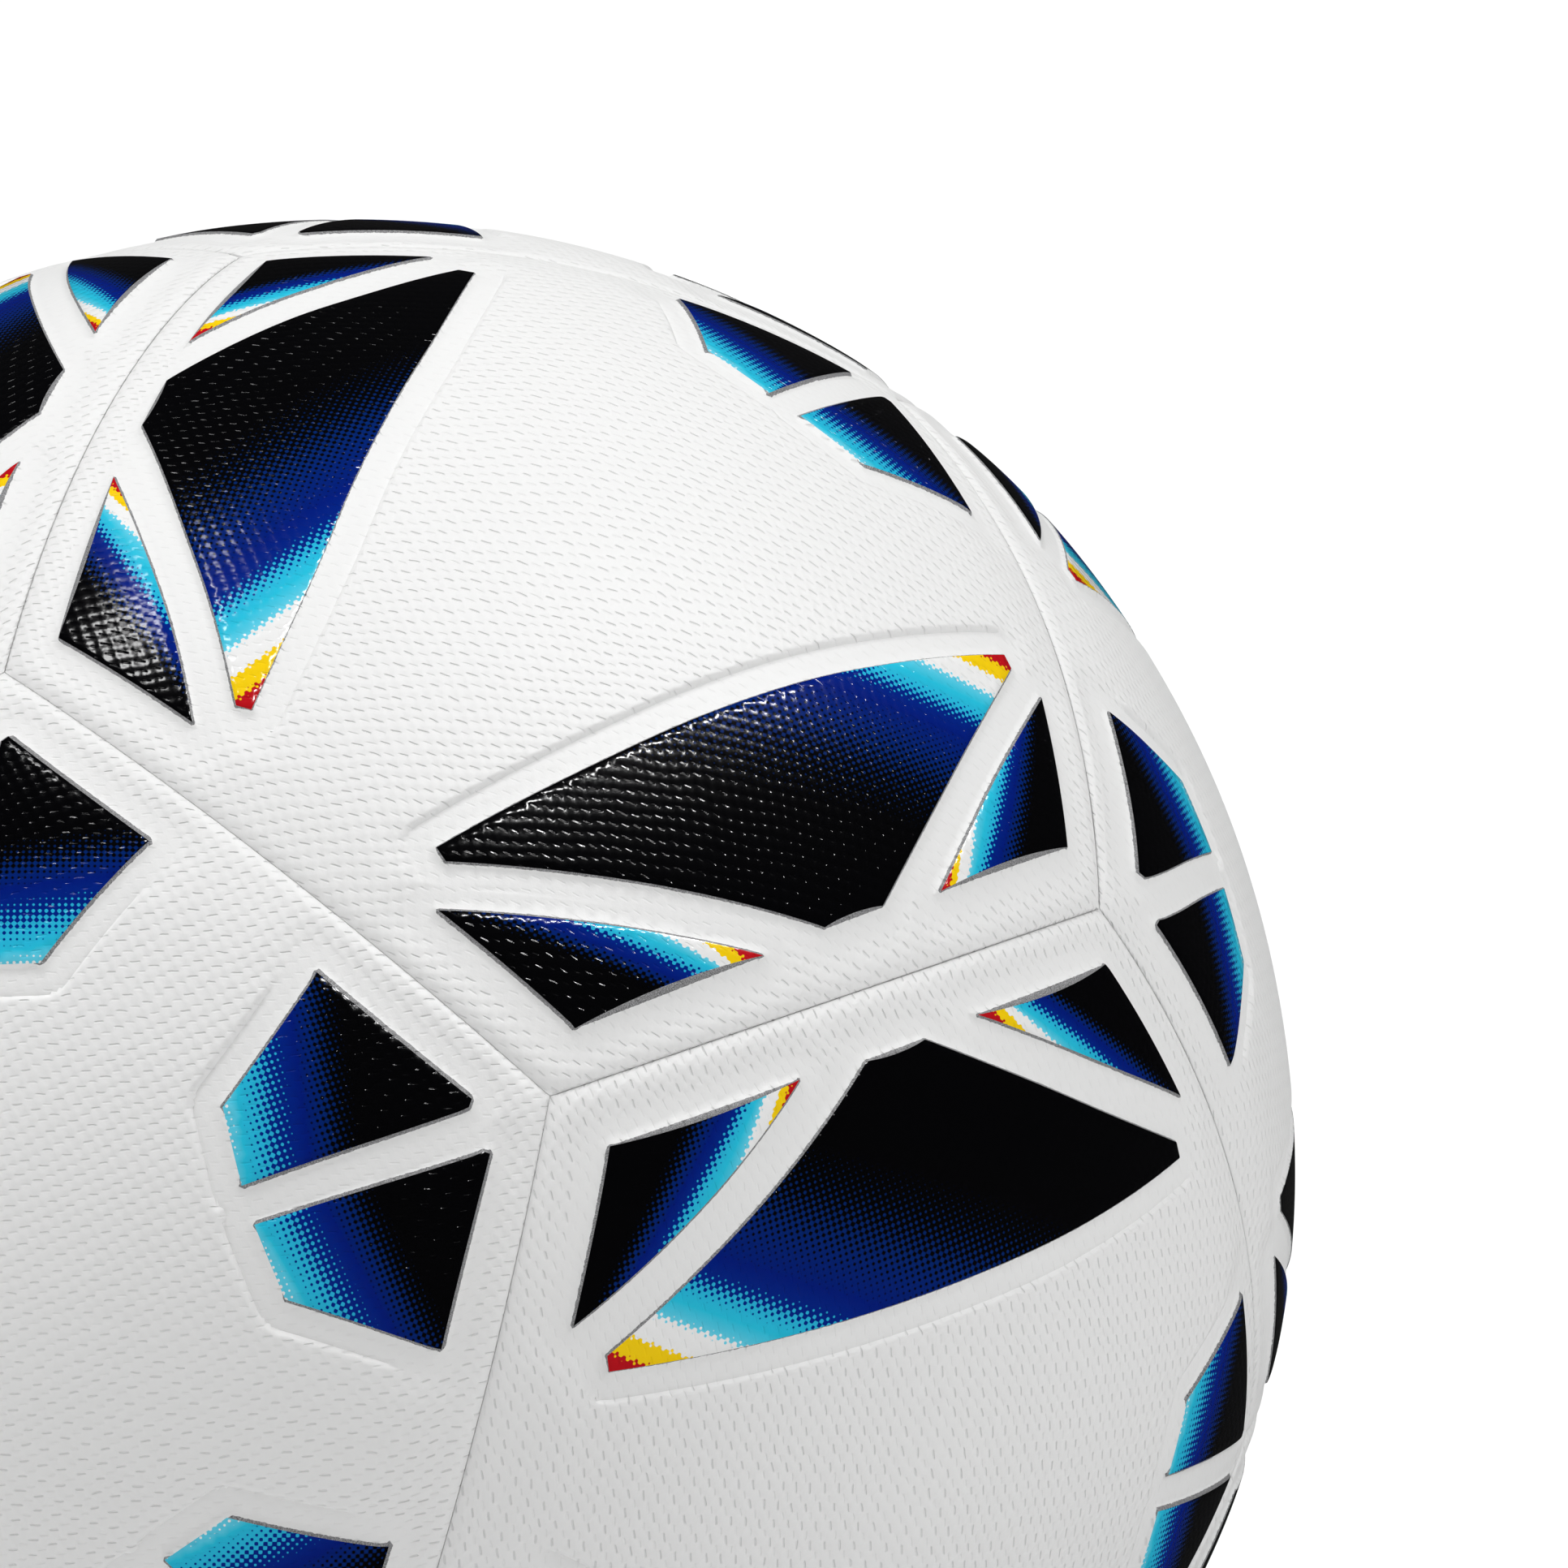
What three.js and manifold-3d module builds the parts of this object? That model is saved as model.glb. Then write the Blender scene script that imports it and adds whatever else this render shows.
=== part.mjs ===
// Match football of twelve bonded pentagonal panels, size 5.
//
// Frame: origin at the centre of the ball, +Z up, millimetres. The ball stands on the ground at -Z.
// The panels lie on a dodecahedron. The front pole panel is centred on -Y. The rear pole panel,
// on +Y, carries the valve. Round each pole lies a ring of five panels.
//
// From outside to inside:
//   skins          twelve moulded polyurethane panels that meet at recessed seams
//   foam           twelve pads, one behind each skin
//   seam bond      one lattice of strip in the channels between the foam pads
//   carcass        woven textile sphere that the panels are bonded to
//   bladder        butyl air bladder, pierced once for the valve
//   valve          patch, rubber housing and removable core, with a counterweight opposite

import * as THREE from 'three';
import { mergeGeometries, mergeVertices } from 'three/addons/utils/BufferGeometryUtils.js';
import Module from 'manifold-3d';

const wasm = await Module();
wasm.setup();

// ---- layers: radii from the centre of the ball -----------------------------------------------
const BALL_R = 110;               // over the crown of a panel: circumference 691 mm
const SKIN_INNER_R = 108.9;
const FOAM_OUTER_R = 108.6;
const FOAM_INNER_R = 105.5;
const CARCASS_OUTER_R = 105.2;
const CARCASS_INNER_R = 104.45;
const BLADDER_OUTER_R = 104.15;
const BLADDER_INNER_R = 103.3;
const PATCH_OUTER_R = 103;
const PATCH_INNER_R = 102;

// ---- seams, valve hole and ground flat -------------------------------------------------------
const SEAM_DROP = 0.6;            // fall of a skin's outer face at the seam
const RIM_DROP = 0.05;            // fall of that face where the rounded rim begins
const SEAM_GAP = 0.5;             // clear width between two neighbouring skins
const STRIP_WIDTH = 4;            // bonding strip under a seam
const STRIP_CLEAR = 0.4;          // strip to foam, each side
const VALVE_HOLE_R = 5.2;         // hole through all layers, measured at the ball's surface
const FLAT_Z = -109.35;           // ground contact flat
const FLAT_CUTTER = { width: 60, height: 20 };

// ---- dodecahedral layout ---------------------------------------------------------------------
const DEG = Math.PI / 180;
const SIDE_ANGLE = 72 * DEG;                                       // one side of a pentagon
const FACE_STEP = Math.atan(2);                                    // between panel centres
const CORNER = Math.acos(Math.sqrt((5 + 2 * Math.sqrt(5)) / 15));  // panel centre to corner
const EDGE_MID = Math.acos(Math.sqrt((5 + Math.sqrt(5)) / 10));    // panel centre to mid seam
const MID_REACH = Math.tan(EDGE_MID);    // mid seam on the tangent plane of a unit sphere

// A direction from its angle about the Y axis (0 along +X, 90 deg along +Z) and its angle from -Y.
function direction(angle, polar) {
  return new THREE.Vector3(
    Math.sin(polar) * Math.cos(angle),
    -Math.cos(polar),
    Math.sin(polar) * Math.sin(angle),
  );
}

// A panel's frame: its centre, `up` towards one corner, and `side` square to both.
function makePanel(name, centre, corner) {
  const up = corner.clone().addScaledVector(centre, -corner.dot(centre)).normalize();
  const side = up.clone().cross(centre);
  return { name, centre, up, side };
}

// Five panels round a pole. Their reference corners lie at cornerPolar.
function panelRing(name, firstAngle, centrePolar, cornerPolar) {
  return Array.from({ length: 5 }, (_, i) => {
    const angle = firstAngle + i * SIDE_ANGLE;
    return makePanel(
      `${name}_${i + 1}`, direction(angle, centrePolar), direction(angle, cornerPolar));
  });
}

const FRONT_POLE = makePanel('front_pole', direction(0, 0), direction(90 * DEG, CORNER));
const REAR_POLE = makePanel(
  'rear_pole', direction(0, Math.PI), direction(54 * DEG, Math.PI - CORNER));
const REAR_POLAR = Math.PI - FACE_STEP;
const PANELS = [
  FRONT_POLE,
  ...panelRing('front_ring', 54 * DEG, FACE_STEP, FACE_STEP + CORNER),
  ...panelRing('rear_ring', 18 * DEG, REAR_POLAR, REAR_POLAR - CORNER),
  REAR_POLE,
];
const GROUND_PANEL = 'front_ring_4';     // covers the ball's lowest point

// ---- panel rings -----------------------------------------------------------------------------
// A place on a panel is its share t of the way from the centre (0) to the seam (1).
// The layers share their rings, so that the thin gaps between them hold.
const SECTORS = 20;                      // azimuth steps round a panel, four per side
const T_ROUND = 0.12;                    // rings are circles up to here
const T_PENTAGON = 0.6;                  // and pentagons from here on
const T_INNER_RING = 0.31;
const T_OUTER_RING = 0.64;
const T_HOLE = VALVE_HOLE_R / BALL_R / MID_REACH;
const T_WEIGHT = 0.24;                   // rim of the counterweight

// The share at a given distance in from the seam, on a sphere of the given radius.
const insetShare = (radius, inset) => 1 - inset / (radius * Math.sin(EDGE_MID));
const T_SKIN = insetShare(BALL_R, SEAM_GAP / 2);
const T_STRIP = insetShare(FOAM_OUTER_R, STRIP_WIDTH / 2);
const T_FOAM = insetShare(FOAM_OUTER_R, STRIP_WIDTH / 2 + STRIP_CLEAR);

// ---- geometry helpers ------------------------------------------------------------------------
// Tangent-plane distance from a panel's centre to its side at azimuth phi, with a corner at 90 deg.
function pentagonReach(phi) {
  const fromCorner = THREE.MathUtils.euclideanModulo(phi - 90 * DEG, SIDE_ANGLE);
  return MID_REACH / Math.cos(fromCorner - SIDE_ANGLE / 2);
}

// A lathe of [t, radius] points, bent on to the sphere round a panel's centre.
function panelSurface(panel, profile) {
  const points = profile.map(([t, radius]) => new THREE.Vector2(t, radius));
  const surface = new THREE.LatheGeometry(points, SECTORS);
  const position = surface.getAttribute('position');
  const point = new THREE.Vector3();
  for (let i = 0; i < position.count; i++) {
    const x = position.getX(i);
    const z = position.getZ(i);
    const t = Math.hypot(x, z);
    const phi = Math.atan2(z, x);
    const squareness = THREE.MathUtils.smoothstep(t, T_ROUND, T_PENTAGON);
    const reach = t * THREE.MathUtils.lerp(MID_REACH, pentagonReach(phi), squareness);
    point.copy(panel.centre)
      .addScaledVector(panel.side, reach * Math.cos(phi))
      .addScaledVector(panel.up, reach * Math.sin(phi))
      .normalize()
      .multiplyScalar(position.getY(i));
    position.setXYZ(i, point.x, point.y, point.z);
  }
  return surface;
}

// Reverses the winding of every triangle in an index array.
function flipWinding(index) {
  for (let i = 0; i < index.length; i += 3) {
    [index[i + 1], index[i + 2]] = [index[i + 2], index[i + 1]];
  }
}

function signedVolume(position, index) {
  const [a, b, c] = [new THREE.Vector3(), new THREE.Vector3(), new THREE.Vector3()];
  let sixfold = 0;
  for (let i = 0; i < index.length; i += 3) {
    a.fromBufferAttribute(position, index[i]);
    b.fromBufferAttribute(position, index[i + 1]);
    c.fromBufferAttribute(position, index[i + 2]);
    sixfold += a.dot(b.cross(c));
  }
  return sixfold / 6;
}

// One closed body: shared vertices merged, empty triangles dropped, faces turned outwards.
function solid(...parts) {
  for (const part of parts) {
    for (const name of Object.keys(part.attributes)) {
      if (name !== 'position') part.deleteAttribute(name);
    }
  }
  const body = mergeVertices(mergeGeometries(parts), 1e-3);
  const merged = body.getIndex().array;
  const index = [];
  for (let i = 0; i < merged.length; i += 3) {
    const [a, b, c] = merged.slice(i, i + 3);
    if (a !== b && b !== c && c !== a) index.push(a, b, c);
  }
  if (signedVolume(body.getAttribute('position'), index) < 0) flipWinding(index);
  body.setIndex(index);
  return body;
}

// The surfaces of one panel's share of a layer. `outer` and `inner` are [t, radius] rings from the
// middle outwards. Both faces are lathed that way, so that their facets match the next layer's,
// and the inner one is then turned over. A face that starts off centre gets a wall round its hole.
function layerParts(panel, outer, inner, { rimWall = true } = {}) {
  const innerFace = panelSurface(panel, inner);
  flipWinding(innerFace.getIndex().array);
  const parts = [panelSurface(panel, outer), innerFace];
  if (rimWall) parts.push(panelSurface(panel, [outer.at(-1), inner.at(-1)]));
  if (outer[0][0] > 0) parts.push(panelSurface(panel, [inner[0], outer[0]]));
  return parts;
}

// The shared rings of one face at a radius, then its own rim rings. The rear pole has the hole.
function faceRings(panel, radius, ...rim) {
  const start = panel === REAR_POLE ? T_HOLE : 0;
  return [[start, radius], [T_INNER_RING, radius], [T_OUTER_RING, radius], ...rim];
}

// A whole spherical layer, pierced at the rear pole so that it holds no sealed hollow.
function sphereLayer(outerR, innerR) {
  return solid(...PANELS.flatMap((panel) => layerParts(
    panel,
    faceRings(panel, outerR, [1, outerR]),
    faceRings(panel, innerR, [1, innerR]),
    { rimWall: false },
  )));
}

// A body of revolution about +Y from a profile of [radius, y] points.
function turned(profile) {
  const points = profile.map(([radius, y]) => new THREE.Vector2(radius, y));
  return solid(new THREE.LatheGeometry(points, 24));
}

function toManifold(geometry) {
  return new wasm.Manifold(new wasm.Mesh({
    numProp: 3,
    vertProperties: new Float32Array(geometry.getAttribute('position').array),
    triVerts: new Uint32Array(geometry.getIndex().array),
  }));
}

function fromManifold(manifold) {
  const { vertProperties, triVerts } = manifold.getMesh();
  const geometry = new THREE.BufferGeometry();
  geometry.setAttribute('position', new THREE.BufferAttribute(vertProperties, 3));
  geometry.setIndex(new THREE.BufferAttribute(triVerts, 1));
  return geometry;
}

// ---- panels and seam bond --------------------------------------------------------------------
function skin(panel) {
  const outerRim = [[T_FOAM, BALL_R - RIM_DROP], [T_SKIN, BALL_R - SEAM_DROP]];
  const innerRim = [[T_FOAM, SKIN_INNER_R], [T_SKIN, SKIN_INNER_R]];
  const body = solid(...layerParts(
    panel,
    faceRings(panel, BALL_R, ...outerRim),
    faceRings(panel, SKIN_INNER_R, ...innerRim),
  ));
  return panel.name === GROUND_PANEL ? cutGroundFlat(body) : body;
}

// The ball flattens a little where it stands: one flat across its lowest point.
function cutGroundFlat(body) {
  const { width, height } = FLAT_CUTTER;
  const cutter = solid(new THREE.BoxGeometry(width, width, height));
  cutter.translate(0, 0, FLAT_Z - height / 2);
  return fromManifold(toManifold(body).subtract(toManifold(cutter)));
}

function foam(panel) {
  return solid(...layerParts(
    panel,
    faceRings(panel, FOAM_OUTER_R, [T_FOAM, FOAM_OUTER_R]),
    faceRings(panel, FOAM_INNER_R, [T_FOAM, FOAM_INNER_R]),
  ));
}

// Each panel's share is open at the seam, where the neighbour's share joins on.
function seamBond() {
  return solid(...PANELS.flatMap((panel) => layerParts(
    panel,
    [[T_STRIP, FOAM_OUTER_R], [1, FOAM_OUTER_R]],
    [[T_STRIP, FOAM_INNER_R], [1, FOAM_INNER_R]],
    { rimWall: false },
  )));
}

// ---- caps inside the bladder -----------------------------------------------------------------
// Valve patch: a cap round the stem, on the rear pole panel's own rings.
function valvePatch() {
  return solid(...layerParts(
    REAR_POLE,
    [[T_HOLE, PATCH_OUTER_R], [T_INNER_RING, PATCH_OUTER_R]],
    [[T_HOLE, PATCH_INNER_R], [T_INNER_RING, PATCH_INNER_R]],
  ));
}

// Counterweight: a thicker cap at the front pole, thinning towards its rim.
const WEIGHT_OUTER_R = 102.6;
const WEIGHT_RIM_OUTER_R = 102;
const WEIGHT_INNER_R = 98.8;
const WEIGHT_RIM_INNER_R = 99.2;

function counterweight() {
  return solid(...layerParts(
    FRONT_POLE,
    [[0, WEIGHT_OUTER_R], [T_WEIGHT, WEIGHT_RIM_OUTER_R]],
    [[0, WEIGHT_INNER_R], [T_WEIGHT, WEIGHT_RIM_INNER_R]],
  ));
}

// ---- valve: stations along +Y and radii about it ---------------------------------------------
const STEM_R = 4.4;
const STEM_OUTER_CHAMFER = 0.3;
const STEM_INNER_TAPER = { depth: 0.8, length: 1.6 };
const VALVE_FACE_Y = 109.3;       // outer end of the stem, a little below the skin
const HOUSING_END_Y = 84;
const FLANGE_R = 13;
const FLANGE_TOP_Y = 100.2;
const FLANGE_END_Y = FLANGE_TOP_Y - 2.2;
const FLANGE_TOP_FALL = 0.5;      // slope of the outer face, stem to rim
const FLANGE_CHAMFER = { depth: 1.2, length: 0.9 };
const BORE_R = 2.7;
const AIR_HOLE_R = 1.2;           // through the inner end of the housing
const HEAD_SEAT_R = 3.3;          // counterbore for the core's head
const SEAT_Y = VALVE_FACE_Y - 1.4;

const CORE_R = 2.4;
const CORE_END_Y = 87;
const CORE_END_CLEAR = 0.4;       // core to the inner end of the bore
const CORE_TAPER = { depth: 0.5, length: 1.2 };
const GROOVE = { startY: 94, endY: 96.4, depth: 0.35, slope: 0.4 };
const HEAD_R = 3;
const HEAD_START_Y = SEAT_Y + 0.2;
const HEAD_TOP_Y = HEAD_START_Y + 1.1;
const HEAD_CHAMFER = 0.3;
const NEEDLE_R = 0.7;             // needle passage through the core
const NEEDLE_MOUTH = { flare: 0.6, depth: 0.5 };

// Valve housing: flange and stem in one piece of rubber, bored for the core.
function valveHousing() {
  const boreEndY = CORE_END_Y - CORE_END_CLEAR;
  return turned([
    [HEAD_SEAT_R, VALVE_FACE_Y],
    [HEAD_SEAT_R, SEAT_Y],
    [BORE_R, SEAT_Y],
    [BORE_R, boreEndY],
    [AIR_HOLE_R, boreEndY],
    [AIR_HOLE_R, HOUSING_END_Y],
    [STEM_R - STEM_INNER_TAPER.depth, HOUSING_END_Y],
    [STEM_R, HOUSING_END_Y + STEM_INNER_TAPER.length],
    [STEM_R, FLANGE_END_Y],
    [FLANGE_R - FLANGE_CHAMFER.depth, FLANGE_END_Y],
    [FLANGE_R, FLANGE_END_Y + FLANGE_CHAMFER.length],
    [FLANGE_R, FLANGE_TOP_Y - FLANGE_TOP_FALL],
    [STEM_R, FLANGE_TOP_Y],
    [STEM_R, VALVE_FACE_Y - STEM_OUTER_CHAMFER],
    [STEM_R - STEM_OUTER_CHAMFER, VALVE_FACE_Y],
    [HEAD_SEAT_R, VALVE_FACE_Y],
  ]);
}

// Valve core: a headed plug with a needle passage, drawn out along +Y to replace it.
function valveCore() {
  return turned([
    [NEEDLE_R, CORE_END_Y],
    [CORE_R - CORE_TAPER.depth, CORE_END_Y],
    [CORE_R, CORE_END_Y + CORE_TAPER.length],
    [CORE_R, GROOVE.startY],
    [CORE_R - GROOVE.depth, GROOVE.startY + GROOVE.slope],
    [CORE_R - GROOVE.depth, GROOVE.endY - GROOVE.slope],
    [CORE_R, GROOVE.endY],
    [CORE_R, HEAD_START_Y],
    [HEAD_R, HEAD_START_Y],
    [HEAD_R, HEAD_TOP_Y - HEAD_CHAMFER],
    [HEAD_R - HEAD_CHAMFER, HEAD_TOP_Y],
    [NEEDLE_R + NEEDLE_MOUTH.flare, HEAD_TOP_Y],
    [NEEDLE_R, HEAD_TOP_Y - NEEDLE_MOUTH.depth],
    [NEEDLE_R, CORE_END_Y],
  ]);
}

// ---- materials -------------------------------------------------------------------------------
const MATERIALS = {
  skin: { color: 0xf0f0ee, roughness: 0.42 },
  foam: { color: 0xe6dfc8, roughness: 0.95 },
  bond: { color: 0xc2c2bf, roughness: 0.5 },
  textile: { color: 0xd8d4c4, roughness: 0.9 },
  butyl: { color: 0x1c1c1e, roughness: 0.55 },
  patch: { color: 0x3a3b3e, roughness: 0.8 },
  weight: { color: 0x4b4d50, roughness: 0.7 },
  housing: { color: 0xe9e9e4, roughness: 0.5 },
  core: { color: 0x2b2c2f, roughness: 0.45 },
};

// ---- assembly --------------------------------------------------------------------------------
const group = new THREE.Group();

function add(name, geometry, finish) {
  const material = new THREE.MeshStandardMaterial({ ...finish, metalness: 0 });
  const mesh = new THREE.Mesh(geometry, material);
  mesh.name = name;
  group.add(mesh);
}

for (const panel of PANELS) add(`skin_${panel.name}`, skin(panel), MATERIALS.skin);
for (const panel of PANELS) add(`foam_${panel.name}`, foam(panel), MATERIALS.foam);
add('seam_bond', seamBond(), MATERIALS.bond);
add('carcass', sphereLayer(CARCASS_OUTER_R, CARCASS_INNER_R), MATERIALS.textile);
add('bladder', sphereLayer(BLADDER_OUTER_R, BLADDER_INNER_R), MATERIALS.butyl);
add('valve_patch', valvePatch(), MATERIALS.patch);
add('counterweight', counterweight(), MATERIALS.weight);
add('valve_housing', valveHousing(), MATERIALS.housing);
add('valve_core', valveCore(), MATERIALS.core);

export default group;
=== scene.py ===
"""A football of twelve pentagon panels, with its valve, on a white studio floor.

The ball's centre is the origin, +Z is up and the front pole faces -Y. The valve sits in the
rear pole, on +Y. Layout lengths are in mm and angles in radians unless named otherwise;
meshes are written in metres.
"""

import math

import bmesh
import bpy
import numpy as np
from mathutils import Matrix, Vector
from mathutils.geometry import delaunay_2d_cdt

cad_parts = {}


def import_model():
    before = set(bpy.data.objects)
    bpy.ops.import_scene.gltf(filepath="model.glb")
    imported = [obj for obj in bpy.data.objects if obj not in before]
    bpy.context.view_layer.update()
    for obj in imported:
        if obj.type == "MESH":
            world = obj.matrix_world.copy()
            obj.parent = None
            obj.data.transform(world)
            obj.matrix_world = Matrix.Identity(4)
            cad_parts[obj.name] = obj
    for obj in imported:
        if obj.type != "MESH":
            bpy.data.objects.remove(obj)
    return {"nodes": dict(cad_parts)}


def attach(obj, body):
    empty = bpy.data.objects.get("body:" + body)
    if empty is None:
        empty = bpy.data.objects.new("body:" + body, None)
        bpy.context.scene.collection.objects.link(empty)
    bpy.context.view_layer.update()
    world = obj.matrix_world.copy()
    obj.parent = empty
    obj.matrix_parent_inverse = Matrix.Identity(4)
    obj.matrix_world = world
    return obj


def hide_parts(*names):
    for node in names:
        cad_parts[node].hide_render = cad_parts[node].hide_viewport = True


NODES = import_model()["nodes"]
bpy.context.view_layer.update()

# ------------------------------------------------------------------------------------------
# Dimensions
# Each panel is laid out on the plane that touches the ball at the panel's centre, seen from
# outside, with one corner up.
# ------------------------------------------------------------------------------------------
MM = 1000.0                        # mm in a metre
DEG = math.pi / 180
TAU = 2 * math.pi

BALL_RADIUS = 110.0
FACE_STEP = math.atan(2)           # angle between the centres of neighbouring panels
CORNER = math.acos(math.sqrt((5 + 2 * math.sqrt(5)) / 15))   # panel centre to corner
EDGE_MID = math.acos(math.sqrt((5 + math.sqrt(5)) / 10))     # panel centre to mid seam
IN_RADIUS = BALL_RADIUS * math.tan(EDGE_MID)                 # to mid seam, on the plane
CORNER_RADIUS = BALL_RADIUS * math.tan(CORNER)               # to a corner, on the plane
SIDE_REACH = IN_RADIUS / math.sin(EDGE_MID)                  # ball centre to a side's middle

SKIN_BOTTOM = 108.63               # radius of the skins' inner face
LEAST_SKIN = 0.18                  # thinnest the unevenness may leave a skin
SEAM_HALF = 0.02                   # half the open width of a seam
SEAM_ROUNDING = 0.55               # softening of the seam distance at the corners
GROOVE_DEPTH, GROOVE_RUN = 0.50, 1.9        # valley at a seam
SHOULDER_DEPTH, SHOULDER_RUN = 0.48, 5.6    # wider rounding beside a seam
RELIEF = 0.42                      # depth of the channels round the printed fields
WALL = 0.55                        # run of the slope from a field down to its channel
CHANNEL_END = (3.55, 4.15)         # channel's outer wall, away from the seams
SOFT_END = (2.5, 8.0)              # channel's outer slope, near a seam
SEAMSIDE = (9.0, 12.5)             # seam distances over which the one becomes the other
LINE_DEPTH, LINE_AT, LINE_RUN = 0.20, 3.8, 0.32   # fine line along the channel's outer wall
HOLE_RADIUS = 5.3                  # hole in the valve panel
HOLE_ROUND, HOLE_DROP = 1.3, 0.55  # run and depth of its rounded lip
FOOT_Z, FOOT_BULGE = -109.35, 0.03 # flat under the ball, and the share of curve left in it
FLOOR_Z = -109.37

# Mesh spacings
SIDE_POINTS = 84                   # rim points along one side of a panel
HOLE_POINTS = 72
ARC_STEP = 0.9                     # along the outline of a field
FINE = 1.02 # grid of the outer face
FINE_ROW = 0.8660254               # row height over step, outer face
COARSE, COARSE_ROW = 5.0, .866     # grid step and row ratio, inner face
# (distances outside a plateau, spacing round its corners)
FIELD_ROWS = [((WALL,), 0.7), ((3.15, 3.45, 3.7, 3.95, 4.2, 4.6), 0.8)]
SEAM_ROWS = (0.2, 0.38, 0.6, 0.85, 1.15, 1.6, 2.3, 3.2)      # distances inside the rim
HOLE_ROWS = (5.45, 5.7, 6.1, 6.7, 7.6)                       # radii round the hole
TURNED_SEGMENTS = 96


def direction(angle, polar):
    """Unit vector: polar is the angle from -Y, angle runs from +X towards +Z."""
    return np.array([math.sin(polar) * math.cos(angle), -math.cos(polar),
                     math.sin(polar) * math.sin(angle)])


# (name, centre, direction of the corner laid up, kind)
PANELS = [("front_pole", direction(0, 0), direction(90 * DEG, CORNER), "pole")]
for ring, polar, to_corner, angles in (
        ("front", FACE_STEP, CORNER, (54, 126, 198, 270, -18)),
        ("rear", math.pi - FACE_STEP, -CORNER, (18, 90, 162, 234, 306))):
    for i, angle in enumerate(angles):
        PANELS.append((f"{ring}_ring_{i + 1}", direction(angle * DEG, polar),
                       direction(angle * DEG, polar + to_corner), "ring"))
PANELS.append(("rear_pole", direction(0, math.pi), direction(54 * DEG, math.pi - CORNER), "valve"))

# How far the print of a panel sits from its nominal place: (x, y, move x, move y) on the
# panel plane. No two panels are printed and pressed exactly alike.
OFFSET_REACH = 12.0
OFFSET_FADE = (1.8, 8.0)           # seam distances over which the move sets in
OFFSETS = {
    "front_pole": [
        (24.4, 55.9, -0.5, 0.2), (37.1, 9.6, 0.6, -0.9), (40.6, 1.0, -0.2, -0.5),
        (60.7, -5.9, 0.2, -1.1), (68.4, 18.7, 0.7, -1.1), (35.6, 14.0, 0.1, -0.4),
        (33.4, 23.1, 0.8, -0.6), (45.6, 40.5, 0.7, -0.8), (66.3, 25.0, 0.7, -0.8)],
    "front_ring_1": [
        (15.0, -52.8, 0.3, 1.0), (53.9, -22.1, -0.1, 1.6), (56.6, -13.1, -0.3, 1.0),
        (42.1, 34.0, -0.0, 0.3), (19.9, -59.0, 0.6, 1.2), (43.5, -58.7, 0.3, 1.4),
        (51.7, -31.6, 0.1, 0.8), (48.9, 36.3, 0.2, 0.4), (68.2, 22.6, -0.5, 1.2),
        (60.2, -3.9, -0.1, 1.7), (-43.2, 33.9, -0.8, -2.3), (-56.6, -13.8, -2.3, -0.3),
        (-53.5, -22.6, -2.4, -0.1), (-14.1, -52.2, -1.3, -0.2), (-50.8, 36.1, -1.4, -2.3),
        (-69.7, 21.9, -1.2, -0.7), (-60.4, -4.8, -2.1, -0.3), (-18.2, -58.1, -1.4, -0.5),
        (-41.9, -58.4, -2.1, -0.6), (-51.0, -32.2, -2.0, -1.0), (2.4, 38.2, -0.7, 0.9),
        (11.6, 38.9, -0.5, 2.5), (24.4, 55.9, -2.2, 0.7), (-2.4, 38.2, -1.7, 1.3),
        (-11.6, 38.9, -2.5, 1.7)],
    "front_ring_2": [
        (53.9, -22.1, 0.4, 3.0), (56.6, -13.1, 0.1, 2.4), (68.2, 22.6, -0.1, 1.4),
        (60.2, -3.9, 0.2, 2.7)],
    "front_ring_5": [
        (-43.2, 33.9, -0.2, 0.5), (-56.6, -13.8, -0.5, 1.3), (-53.5, -22.6, -0.6, 1.3),
        (-14.1, -52.2, -0.1, 0.4), (-50.8, 36.1, -0.3, 1.2), (-69.7, 21.9, -0.2, 1.2),
        (-60.4, -4.8, -0.5, 1.3), (-18.2, -58.1, -0.3, 0.2), (-41.9, -58.4, -0.3, 1.0),
        (-51.0, -32.2, -0.2, 0.7), (2.4, 38.2, 1.3, 3.0), (-2.4, 38.2, 0.6, 3.0),
        (-11.6, 38.9, -0.3, 3.0), (-24.4, 55.9, 1.2, 3.0)],
    "rear_ring_2": [
        (2.4, 38.2, 0.0, -1.5), (11.6, 38.9, -0.5, -1.5), (24.4, 55.9, -1.5, -3.0),
        (3.3, 70.8, -1.0, -3.0), (-2.4, 38.2, 0.0, -1.5), (-11.6, 38.9, 0.5, -1.5),
        (-24.4, 55.9, 1.5, -3.0), (-3.3, 70.8, 1.0, -3.0), (-50.8, 36.1, 1.5, -2.6),
        (-69.7, 21.9, 1.5, -2.6), (50.0, 0.0, 0.0, 1.1), (-50.0, 0.0, -0.4, 1.1),
        (0.0, 0.0, 0.0, 0.8)],
    "rear_ring_1": [
        (2.4, 38.2, -0.1, 2.4), (11.6, 38.9, 0.4, 2.1), (24.4, 55.9, -1.5, -1.6),
        (3.3, 70.8, -1.1, -2.2), (-2.4, 38.2, -0.8, 1.2), (-11.6, 38.9, -0.3, 0.7),
        (-24.4, 55.9, 0.1, -3.0), (-3.3, 70.8, -1.4, -3.0)],
}
RING_OFFSETS = [(0.0, 60.0, 0.0, 1.6), (50.0, 0.0, 0.0, 1.1), (-50.0, 0.0, -0.4, 1.1),
                (0.0, 0.0, 0.0, 0.8)]       # ring panels not listed above
NO_OFFSETS = [(0.0, 0.0, 0.0, 0.0)]

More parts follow.
